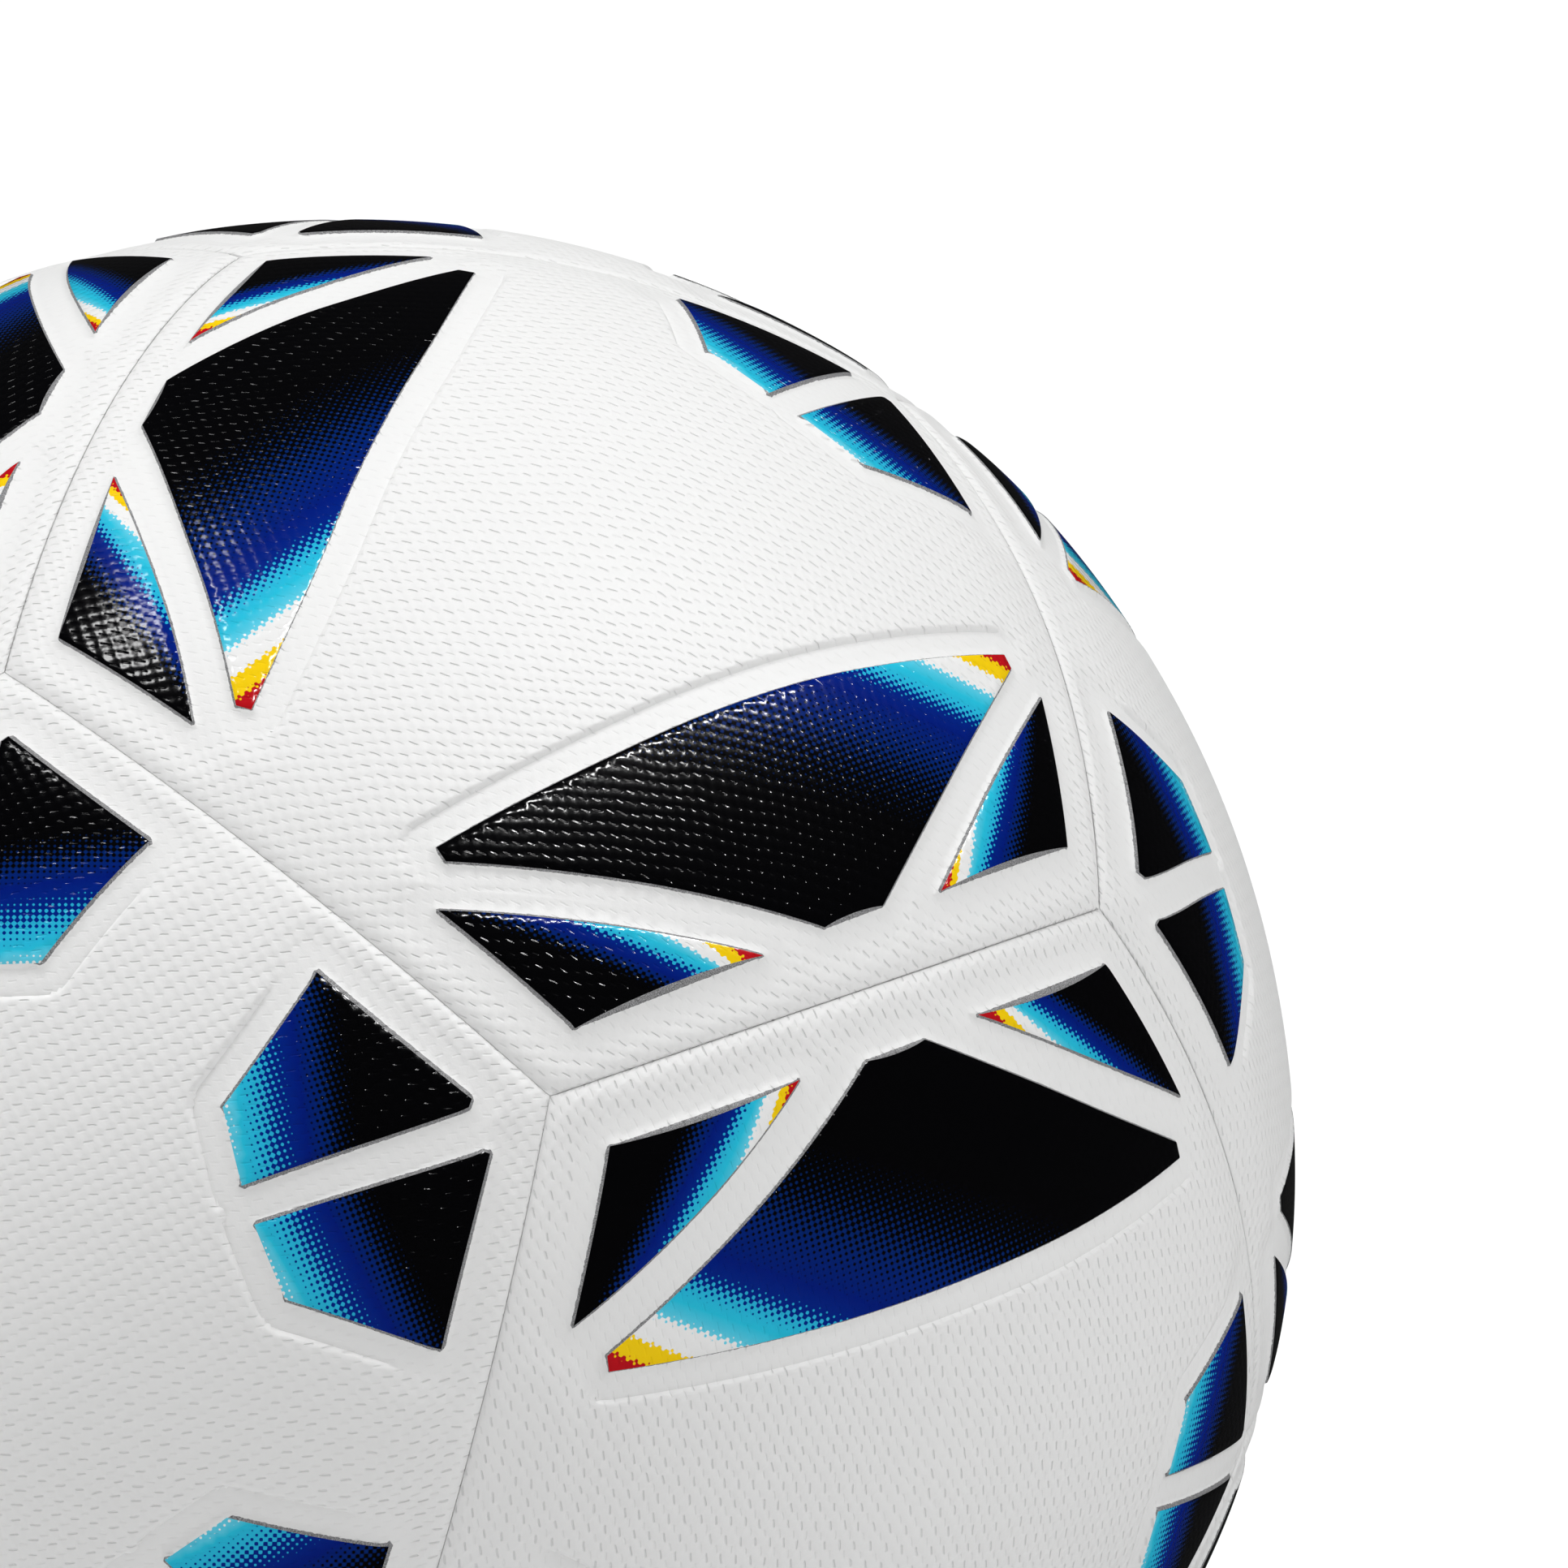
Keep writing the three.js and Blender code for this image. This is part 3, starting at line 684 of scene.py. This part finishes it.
class Graph:
    """A material with a Principled shader, and short ways to add nodes to it."""

    INPUTS = {"color": "Base Color", "rough": "Roughness", "spec": "Specular IOR Level",
              "sheen": "Sheen Weight"}

    def __init__(self, name):
        self.material = bpy.data.materials.new(name)
        self.material.use_nodes = True
        self.tree = self.material.node_tree
        self.tree.nodes.clear()
        self.out = self.node("OutputMaterial")
        self.shader = self.node("BsdfPrincipled")
        self.tree.links.new(self.shader.outputs[0], self.out.inputs[0])

    def node(self, kind):
        return self.tree.nodes.new("ShaderNode" + kind)

    def link(self, value, socket):
        if isinstance(value, Value):
            self.tree.links.new(value.socket, socket)
        else:
            socket.default_value = value

    def attribute(self, name, output="Fac"):
        node = self.node("Attribute")
        node.attribute_type = "GEOMETRY"
        node.attribute_name = name
        return Value(self, node.outputs[output])

    def math(self, operation, *inputs):
        node = self.node("Math")
        node.operation = operation
        for value, socket in zip(inputs, node.inputs):
            self.link(value, socket)
        return Value(self, node.outputs[0])

    def step(self, low, high, value):
        """0 where value is below low, 1 where it is above high, smooth between."""
        node = self.node("MapRange")
        node.interpolation_type = "SMOOTHSTEP"
        node.clamp = True
        for name, given in (("Value", value), ("From Min", low), ("From Max", high),
                            ("To Min", 0), ("To Max", 1)):
            self.link(given, node.inputs[name])
        return Value(self, node.outputs["Result"])

    def mix(self, factor, off, on):
        """Mixes two colours."""
        node = self.node("Mix")
        node.data_type = "RGBA"
        node.blend_type = "MIX"
        self.link(factor, node.inputs[0])
        self.link(off, node.inputs[6])
        self.link(on, node.inputs[7])
        return Value(self, node.outputs[2])

    def lerp(self, factor, off, on):
        """Mixes two numbers."""
        node = self.node("Mix")
        node.data_type = "FLOAT"
        self.link(factor, node.inputs[0])
        self.link(off, node.inputs[2])
        self.link(on, node.inputs[3])
        return Value(self, node.outputs[0])

    def split(self, vector):
        node = self.node("SeparateXYZ")
        self.link(vector, node.inputs[0])
        return [Value(self, output) for output in node.outputs]

    def join(self, *parts):
        node = self.node("CombineXYZ")
        for part, socket in zip(parts, node.inputs):
            self.link(part, socket)
        return Value(self, node.outputs[0])

    def scale(self, vector, factor):
        node = self.node("VectorMath")
        node.operation = "SCALE"
        self.link(vector, node.inputs[0])
        self.link(factor, node.inputs["Scale"])
        return Value(self, node.outputs[0])

    def noise(self, vector, scale, detail=2.0, rough=0.5):
        node = self.node("TexNoise")
        self.link(vector, node.inputs["Vector"])
        node.inputs["Scale"].default_value = scale
        node.inputs["Detail"].default_value = detail
        node.inputs["Roughness"].default_value = rough
        return Value(self, node.outputs["Fac"])

    def object_mm(self):
        """Object coordinates in mm."""
        return self.scale(Value(self, self.node("TexCoord").outputs["Object"]), MM)

    def ramp(self, factor, stops):
        """Colour ramp through (position, rgb) stops."""
        node = self.node("ValToRGB")
        self.link(factor, node.inputs[0])
        elements = node.color_ramp.elements
        while len(elements) > 1:
            elements.remove(elements[-1])
        elements[0].position, elements[0].color = stops[0][0], (*stops[0][1], 1)
        for position, colour in stops[1:]:
            elements.new(position).color = (*colour, 1)
        return Value(self, node.outputs[0])

    def bump(self, height_mm):
        node = self.node("Bump")
        node.inputs["Strength"].default_value = 1.0
        node.inputs["Distance"].default_value = 1 / MM
        self.link(height_mm, node.inputs["Height"])
        self.tree.links.new(node.outputs[0], self.shader.inputs["Normal"])

    def finish(self, **values):
        """Sets the shader's inputs and returns the material."""
        for name, value in values.items():
            self.link(value, self.shader.inputs[self.INPUTS[name]])
        return self.material


def mix_shader(tree, factor, off, on):
    node = tree.nodes.new("ShaderNodeMixShader")
    for source, socket in zip((factor, off, on), node.inputs):
        tree.links.new(source, socket)
    return node.outputs[0]


# ------------------------------------------------------------------------------------------
# Materials
# ------------------------------------------------------------------------------------------
WHITE = (0.86, 0.86, 0.855, 1)
BLACK = (0.0013, 0.0013, 0.0018, 1)
YELLOW = (0.93, 0.62, 0.004, 1)
RED = (0.50, 0.006, 0.012, 1)
# Painted shade: the grey laid into the weave's dash pits.
DASH_PIT_SHADE = (0.45, 0.45, 0.46, 1)
# Painted shade: the grey laid along the seam's groove.
SEAM_SHADE_GREY = (0.50, 0.50, 0.50, 1)
# (position, rgb) of the ramps
BLUES = [(0.0, (.001, .017, .085)), (0.25, (.0006, .019, .150)), (0.48, (.0003, .011, .190)),
         (1.0, (.0004, .017, .225))]
CYANS = [(0.0, (.020, .400, .680)), (0.5, (.020, .520, .720)), (1.0, (.150, .640, .810))]
SILVERS = [(0.30, (.105, .105, .108)), (0.55, (.28, .28, .285)), (0.75, (.48, .48, .49))]
DOT_PITCH, DOT_SKEW = 0.80, 0.05   # the print's dot grid
WEAVE_X, WEAVE_Y = 2.20, 1.80      # pitch of the moulded weave
DASH_TILT = 17 * DEG


def weave(graph, x, y, place):
    """Height in mm of the moulded weave, and how much painted shade its dash pits take.

    x and y run along its rows, in mm.
    """
    drift = graph.noise(place, scale=0.16)
    jitter = graph.noise(place, scale=0.9, detail=1.0)
    x = x + (drift * 1.2 + jitter * 0.5)
    y = y + (drift * -0.9 + jitter * 0.35)
    column, row = x / WEAVE_X, y / WEAVE_Y
    cos, sin = math.cos(DASH_TILT), math.sin(DASH_TILT)

    def dashes(place_x, place_y, full, end, half_width):
        """Tilted dashes, full to one half length and gone at another."""
        along = place_x * cos + place_y * sin
        across = place_y * cos - place_x * sin
        return ((1.0 - graph.step(full, end, graph.math("ABSOLUTE", along)))
                * (1.0 - graph.step(0.0, half_width, graph.math("ABSOLUTE", across))))

    dash = dashes((graph.math("FRACT", column + 0.5) - 0.5) * WEAVE_X,
                  (graph.math("FRACT", row + 0.5) - 0.5) * WEAVE_Y,
                  full=0.34, end=0.66, half_width=0.16)
    # Fainter dashes half a step over, and plump cells between.
    faint = dashes((graph.math("FRACT", column) - 0.5) * WEAVE_X,
                   (graph.math("FRACT", row) - 0.5) * WEAVE_Y,
                   full=0.25, end=0.65, half_width=0.18)
    cells = graph.math("COSINE", column * TAU) * graph.math("COSINE", row * TAU)
    height = cells * -0.018 - (dash * 0.052 + faint * 0.026)
    return height, (dash + faint * 0.22).clamped()


def print_colour(graph, local, x, y, stop):
    """Colours of a field, each laid over the last in dots that grow and close."""
    wave_x = graph.math("COSINE", (x + y * DOT_SKEW) * (TAU / DOT_PITCH))
    wave_y = graph.math("COSINE", (y - x * DOT_SKEW) * (TAU / DOT_PITCH))
    dot = 0.5 - (wave_x + wave_y) * 0.25
    uneven_stop = stop + (graph.noise(local, scale=1.1) - 0.5) * 0.10

    def cover(start, end, sharpness):
        """How much of a place an ink covers that starts and is full at two stop values."""
        share = (uneven_stop - start) / (end - start)
        # Widened a little, so that it starts bare and ends closed.
        share = share * 1.12 + -0.06
        return ((share - dot) * sharpness + 0.5).clamped()

    blue = graph.ramp((stop / 2.2).clamped(), BLUES)
    colour = graph.mix(cover(-0.02, 1.05, sharpness=3.0), BLACK, blue)
    cyan = graph.ramp(((stop - 2.0) / 2.6).clamped(), CYANS)
    colour = graph.mix(cover(2.0, 3.0, sharpness=7.0), colour, cyan)
    for start, end, ink in ((4.0, 5.0, WHITE), (6.0, 6.35, YELLOW), (7.0, 7.75, RED)):
        colour = graph.mix(cover(start, end, sharpness=6.0), colour, ink)
    return colour


def skin_material():
    graph = Graph("cover_skin_print")
    to_colour, to_plateau, silver_width, stop, seam = [
        graph.attribute(name)
        for name in ("dist_colour", "dist_plateau", "silver", "stop", "seam_mm")]
    local = graph.attribute("field_mm", "Vector")
    rows = graph.attribute("weave_mm", "Vector")
    local_x, local_y, _ = graph.split(local)
    weave_x, weave_y, _ = graph.split(rows)
    place = graph.object_mm()
    printed = print_colour(graph, local, local_x, local_y, stop)

    # White ground, a touch uneven.
    weave_height, dash = weave(graph, weave_x, weave_y, place)
    broad = graph.noise(place, scale=0.035, detail=3.0)
    fine = graph.noise(place, scale=1.3, detail=3.0)
    tone = 0.975 + ((broad - 0.5) * 0.03 + (fine - 0.5) * 0.02)
    ground = graph.scale(graph.mix(1.0, WHITE, WHITE), tone)
    # The weave is fainter in the channels, and painted shade darkens the ground in its dash pits.
    in_channel = (graph.step(0.25, 0.6, to_plateau)
                  * (1.0 - graph.step(3.3, 4.3, to_plateau)))
    weave_share = 1.0 - in_channel * 0.70
    ground = graph.mix((dash * weave_share) * 0.18, ground, DASH_PIT_SHADE)
    # Painted shade: the ground is darkened along the seam's groove.
    seam_shade = 1.0 - graph.step(0.05, 0.45, seam)
    ground = graph.mix(seam_shade * 0.14, ground, SEAM_SHADE_GREY)

    # Speckled silver down the walls of the fields and under their bowed edges.
    speckle = graph.noise(local, scale=5.5)
    silver_edge = silver_width + (graph.noise(local, scale=1.6, detail=3.0) - 0.5) * 0.30
    is_silver = ((1.0 - graph.step(-0.03, 0.03, to_plateau - silver_edge))
                 * graph.step(0.0, 0.02, silver_width))
    silver = graph.ramp(speckle, SILVERS)
    unprinted = graph.mix(is_silver, ground, silver)

    # The print is glossier and smoother than the ground.
    inside = 1.0 - graph.step(0.004, 0.03, to_colour)
    colour = graph.mix(inside, unprinted, printed)
    rough = graph.lerp(inside, off=0.44 + fine * 0.10,
                       on=0.115 + graph.noise(place, scale=0.6) * 0.03)
    grain = ((graph.noise(place, scale=2.6, detail=3.0, rough=0.6) - 0.5)
             * graph.lerp(inside, off=0.020, on=0.003))
    graph.bump(weave_height * weave_share * graph.lerp(inside, off=1.9, on=1.0) + grain)
    return graph.finish(color=colour, rough=rough, spec=graph.lerp(inside, off=0.30, on=0.34))


def plain_material(name, base, dark, rough, scale, bump_mm, sheen=0.0, spec=0.4):
    """Moulded or foamed material: uneven tone and a fine bump from layered noise."""
    graph = Graph(name)
    place = graph.object_mm()
    x, y, z = graph.split(place)
    # The factors scale the fine noise along x, y and z; all are 1, so it is not stretched.
    stretched = graph.join(x * 1.0, y * 1.0, z * 1.0)
    fine = graph.noise(stretched, scale, detail=4.0, rough=0.6)
    broad = graph.noise(place, scale * 0.12)
    colour = graph.ramp(fine * 0.7 + broad * 0.3, [(0.30, dark), (0.62, base)])
    graph.bump(fine * bump_mm)
    return graph.finish(color=colour, rough=(rough - 0.06) + fine * 0.14, sheen=sheen, spec=spec)


def cloth_material():
    """Woven carcass cloth: warp and weft in object space, over and under."""
    thread_pitch, slant = 0.9, 0.35
    graph = Graph("carcass_cloth")
    place = graph.object_mm()
    x, y, z = graph.split(place)
    warp = (x + y * slant) * (TAU / thread_pitch)
    weft = (z - y * slant) * (TAU / thread_pitch)
    height = graph.math("SINE", warp) * graph.math("SINE", weft)
    blotch = graph.noise(place, scale=0.5, detail=3.0)
    colour = graph.ramp(height * 0.22 + blotch, [
        (0.2, (.30, .28, .22)), (0.5, (.55, .52, .43)), (0.8, (.72, .69, .60))])
    graph.bump(height * 0.12)
    return graph.finish(color=colour, rough=0.85, sheen=0.2)


def floor_material():
    graph = Graph("studio_floor_paper")
    place = graph.object_mm()
    tone = graph.ramp(graph.noise(place, scale=0.02, detail=3.0),
                      [(0.3, (.72, .72, .72)), (0.7, (.75, .75, .75))])
    graph.finish(color=tone, rough=0.9, spec=0.1)
    # Seen straight by the camera the paper is lifted to plain white; shadows on it stay.
    path = graph.node("LightPath")
    shader = graph.shader
    shader.inputs["Emission Color"].default_value = (1, 1, 1, 1)
    lift = Value(graph, path.outputs["Is Camera Ray"]) * 0.21
    graph.link(lift, shader.inputs["Emission Strength"])
    # Gloss sees it dim.
    dim = graph.node("Emission")
    dim.inputs["Strength"].default_value = 0.02
    surface = mix_shader(graph.tree, path.outputs["Is Glossy Ray"],
                         shader.outputs[0], dim.outputs[0])
    graph.tree.links.new(surface, graph.out.inputs[0])
    return graph.material


# ------------------------------------------------------------------------------------------
# Cover skins
# ------------------------------------------------------------------------------------------
WEAVE_TURN = {"ring": 3.0, "pole": -13.6, "valve": -13.6}    # degrees
REAR_SILVER = 0.55                 # silver width of the rear panels, as a share
SHARP_ANGLE = 0.9
FAR = 9                            # inner face's distance to any field


def wall(top, bottom, is_rim):
    """Triangles between two loops; those of the hole face the other way."""
    faces = []
    for i in range(len(top)):
        j = (i + 1) % len(top)
        a, b, c, d = top[i], top[j], bottom[i], bottom[j]
        faces += [(a, c, b), (b, c, d)] if is_rim else [(a, b, c), (b, d, c)]
    return faces


def add_attribute(mesh, name, outer_values, inner_value):
    """Point attribute: values on the outer face, one value on the inner face.

    Two columns become a vector with z 0.
    """
    is_vector = outer_values.ndim == 2
    values = np.pad(outer_values, ((0, 0), (0, 1))) if is_vector else outer_values
    inner_count = len(mesh.vertices) - len(values)
    fill = np.full((inner_count,) + values.shape[1:], inner_value, float)
    values = np.concatenate([values, fill])
    attribute = mesh.attributes.new(name, "FLOAT_VECTOR" if is_vector else "FLOAT", "POINT")
    attribute.data.foreach_set("vector" if is_vector else "value",
                               np.ascontiguousarray(values, np.float32).ravel())


def weave_rows(points, kind):
    """Places along the weave's rows, in mm over the ball."""
    rho = np.hypot(points[:, 0], points[:, 1])
    over_ball = BALL_RADIUS * np.arctan(rho / BALL_RADIUS) / np.maximum(rho, 1e-6)
    scale = np.where(rho > 1e-6, over_ball, 1.0)
    return rotated(points * scale[:, None], -WEAVE_TURN[kind])


def build_skin(name, centre, corner, kind, outer, inner, material):
    right, up = panel_axes(centre, corner)
    settled = settle(outer["points"], outer["seam"], name)
    top = puff(to_ball(settled, outer["radius"], centre, right, up))
    if name == "front_ring_4":
        flatten_foot(top)
    inner_radius = np.full(len(inner["points"]), SKIN_BOTTOM)
    bottom = to_ball(inner["points"], inner_radius, centre, right, up)
    base = len(top)
    walls = []
    for key in ("rim", "hole"):
        walls += wall(outer[key], [i + base for i in inner[key]], is_rim=key == "rim")
    faces = [outer["tris"], inner["tris"][:, ::-1] + base, np.array(walls)]
    skin = new_mesh(f"cover_{name}", np.concatenate([top, bottom]), np.concatenate(faces))
    silver_share = REAR_SILVER if name.startswith("rear") else 1
    for attribute, values, inner_value in (
            ("dist_colour", outer["colour"], FAR),
            ("dist_plateau", outer["plateau"], FAR),
            ("silver", outer["silver"] * silver_share, 0),
            ("stop", outer["stop"], 0),
            ("seam_mm", outer["seam"], 0),
            ("field_mm", outer["local"], 0),
            ("weave_mm", weave_rows(outer["points"], kind), 0)):
        add_attribute(skin.data, attribute, values, inner_value)
    # The corner of the rim is a true edge; the moulded faces are smooth.
    orient_faces(skin.data, SHARP_ANGLE)
    finish_piece(skin, material, "ball", f"skin_{name}")


def build_cover():
    outers = {kind: outer_face(kind) for kind in ("ring", "pole", "valve")}
    inners = {kind: inner_face(outer) for kind, outer in outers.items()}
    material = skin_material()
    for name, centre, corner, kind in PANELS:
        build_skin(name, centre, corner, kind, outers[kind], inners[kind], material)


# ------------------------------------------------------------------------------------------
# Valve housing and core, turned about +Y. Profiles are closed loops of (radius, y).
# ------------------------------------------------------------------------------------------
HOUSING_PROFILE = [
    (3.3, 109.3), (3.3, 107.9), (2.7, 107.9), (2.7, 86.6), (1.2, 86.6), (1.2, 84.0), (3.6, 84.0),
    (4.4, 85.6), (4.4, 98.0), (11.8, 98.0), (13.0, 98.9), (13.0, 99.7), (4.4, 100.2),
    (4.4, 109.0), (4.1, 109.3)]
HOUSING_EASE = 0.16
CORE_PROFILE = [
    (0.7, 87.0), (1.9, 87.0), (2.4, 88.2), (2.4, 94.0), (2.05, 94.4), (2.05, 96.0), (2.4, 96.4),
    (2.4, 108.1), (3.0, 108.1), (3.0, 108.95), (2.7, 109.2), (1.5, 109.2), (1.2, 108.9),
    (0.7, 108.6)]
CORE_EASE = 0.14


def eased(profile, ease, steps=4):
    """Rounds every corner of a closed profile."""
    corners = [np.array(corner, float) for corner in profile]
    points = []
    for i, corner in enumerate(corners):
        before, after = corners[i - 1] - corner, corners[(i + 1) % len(corners)] - corner
        length_before, length_after = np.linalg.norm(before), np.linalg.norm(after)
        reach = min(ease, length_before * .45, length_after * .45)
        start = corner + before / length_before * reach
        end = corner + after / length_after * reach
        for k in range(steps + 1):
            t = k / steps
            points.append((1 - t) ** 2 * start + 2 * t * (1 - t) * corner + t * t * end)
    return points


def turned(name, profile):
    """A ring body from a closed profile."""
    verts, faces = [], []
    for angle in np.arange(TURNED_SEGMENTS) * TAU / TURNED_SEGMENTS:
        verts += [(radius * math.cos(angle) / MM, y / MM, radius * math.sin(angle) / MM)
                  for radius, y in profile]
    count = len(profile)
    for i in range(TURNED_SEGMENTS):
        here, there = i * count, (i + 1) % TURNED_SEGMENTS * count
        for k in range(count):
            after = (k + 1) % count
            faces.append((here + k, there + k, there + after, here + after))
    body = new_mesh(name, verts, faces)
    orient_faces(body.data)
    return body


def build_valve():
    white_rubber = plain_material(
        "valve_rubber_white", base=(.74, .74, .71), dark=(.60, .60, .57), rough=0.5,
        scale=1.4, bump_mm=0.02)
    grey_rubber = plain_material(
        "core_rubber_grey", base=(.060, .062, .066), dark=(.026, .027, .029), rough=0.42,
        scale=1.8, bump_mm=0.02, spec=0.5)
    housing = turned("valve_housing_rubber", eased(HOUSING_PROFILE, HOUSING_EASE))
    core = turned("valve_core_plug", eased(CORE_PROFILE, CORE_EASE))
    finish_piece(housing, white_rubber, "ball", "valve_housing")
    finish_piece(core, grey_rubber, "core", "valve_core")


def dress_hidden_layers():
    """Hidden layers keep their CAD shape and take their own materials."""
    foam = plain_material(
        "backing_foam_cells", base=(.74, .68, .52), dark=(.52, .46, .33), rough=0.9,
        scale=2.6, bump_mm=0.25, sheen=0.1, spec=0.2)
    bond = plain_material(
        "seam_bond_film", base=(.52, .52, .525), dark=(.40, .40, .405), rough=0.5,
        scale=0.9, bump_mm=0.05)
    butyl = plain_material(
        "bladder_butyl", base=(.020, .020, .022), dark=(.008, .008, .009), rough=0.5,
        scale=0.5, bump_mm=0.06)
    patch = plain_material(
        "patch_rubber_grey", base=(.075, .077, .084), dark=(.035, .036, .040), rough=0.75,
        scale=1.6, bump_mm=0.05)
    by_name = {"seam_bond": bond, "carcass": cloth_material(), "bladder": butyl,
               "valve_patch": patch, "counterweight": patch}
    for name, obj in NODES.items():
        material = foam if name.startswith("foam_") else by_name.get(name)
        if material is not None:
            obj.data.materials.clear()
            obj.data.materials.append(material)


# ------------------------------------------------------------------------------------------
# Floor, world, camera and lights
# ------------------------------------------------------------------------------------------
FLOOR_CELLS = 40
FLOOR_HALF = 9.0                   # m

# A long lens from the front right and a little above. Place in m; the axes are unit vectors.
CAMERA_PLACE = (0.56389, -1.24313, 0.18807)
CAMERA_RIGHT = (0.92659408, 0.37430591, -0.03631123)
CAMERA_UP = (-0.00637374, 0.11217345, 0.9936682)
CAMERA_BACK = (0.37600904, -0.92049563, 0.10632498)

# Broad suns shade the ball: (name, direction towards the light, strength)
KEY_ANGLE = 28                     # degrees
KEYS = [("key_right", (0.675, 0.144, 0.724), 0.98),
        ("key_left", (-0.30, -0.20, 0.93), 1.58)]
# Small suns put the sparkle on the print: (direction towards the light, strength)
GLINT_ANGLE = 7.5                  # degrees
GLINTS = [((.466, -.323, .824), .80), ((.543, -.071, .837), 1.00), ((.572, .203, .795), .80),
          ((-.241, -.353, .904), .30), ((-.195, -.200, .960), .14)]


def build_floor():
    ticks = [(i / FLOOR_CELLS - .5) * 2 * FLOOR_HALF for i in range(FLOOR_CELLS + 1)]
    verts = [(x, y, FLOOR_Z / MM) for y in ticks for x in ticks]
    row = FLOOR_CELLS + 1
    faces = []
    for j in range(FLOOR_CELLS):
        for i in range(FLOOR_CELLS):
            first = j * row + i
            faces.append((first, first + 1, first + row + 1, first + row))
    floor = new_mesh("studio_floor", verts, faces, smooth=False)
    floor.data.materials.append(floor_material())


def build_world():
    """An even sky. Seen straight it is white; gloss sees it dim."""
    world = bpy.data.worlds.new("studio_world")
    bpy.context.scene.world = world
    world.use_nodes = True
    tree = world.node_tree
    tree.nodes.clear()
    path = tree.nodes.new("ShaderNodeLightPath")

    def sky(strength):
        node = tree.nodes.new("ShaderNodeBackground")
        node.inputs["Color"].default_value = (1, 1, 1, 1)
        node.inputs["Strength"].default_value = strength
        return node.outputs[0]

    unseen = mix_shader(tree, path.outputs["Is Glossy Ray"], sky(0.50), sky(0.015))
    surface = mix_shader(tree, path.outputs["Is Camera Ray"], unseen, sky(1.05))
    output = tree.nodes.new("ShaderNodeOutputWorld")
    tree.links.new(surface, output.inputs[0])


def build_camera():
    data = bpy.data.cameras.new("camera")
    data.lens = 270.9
    data.sensor_width = 36.0
    data.clip_start, data.clip_end = 0.05, 60.0
    camera = add_object("camera", data)
    rows = zip(CAMERA_RIGHT, CAMERA_UP, CAMERA_BACK, CAMERA_PLACE)
    camera.matrix_world = Matrix((*rows, (0, 0, 0, 1)))
    bpy.context.scene.camera = camera


def add_sun(name, toward, strength, degrees):
    data = bpy.data.lights.new(name, "SUN")
    data.energy = strength
    data.angle = degrees * DEG
    sun = add_object(name, data)
    sun.rotation_mode = "QUATERNION"
    sun.rotation_quaternion = (-Vector(toward)).to_track_quat("-Z", "Y")
    return sun


def build_lights():
    for name, toward, strength in KEYS:
        add_sun(name, toward, strength, KEY_ANGLE).visible_glossy = False
    for i, (toward, strength) in enumerate(GLINTS):
        add_sun(f"glint_{i + 1}", toward, strength, GLINT_ANGLE).visible_diffuse = False


def set_view():
    view = bpy.context.scene.view_settings
    view.view_transform = "Standard"
    view.look = "None"
    view.exposure = 0.0
    view.gamma = 1.0


build_cover()
build_valve()
dress_hidden_layers()
build_floor()
build_world()
build_camera()
build_lights()
set_view()
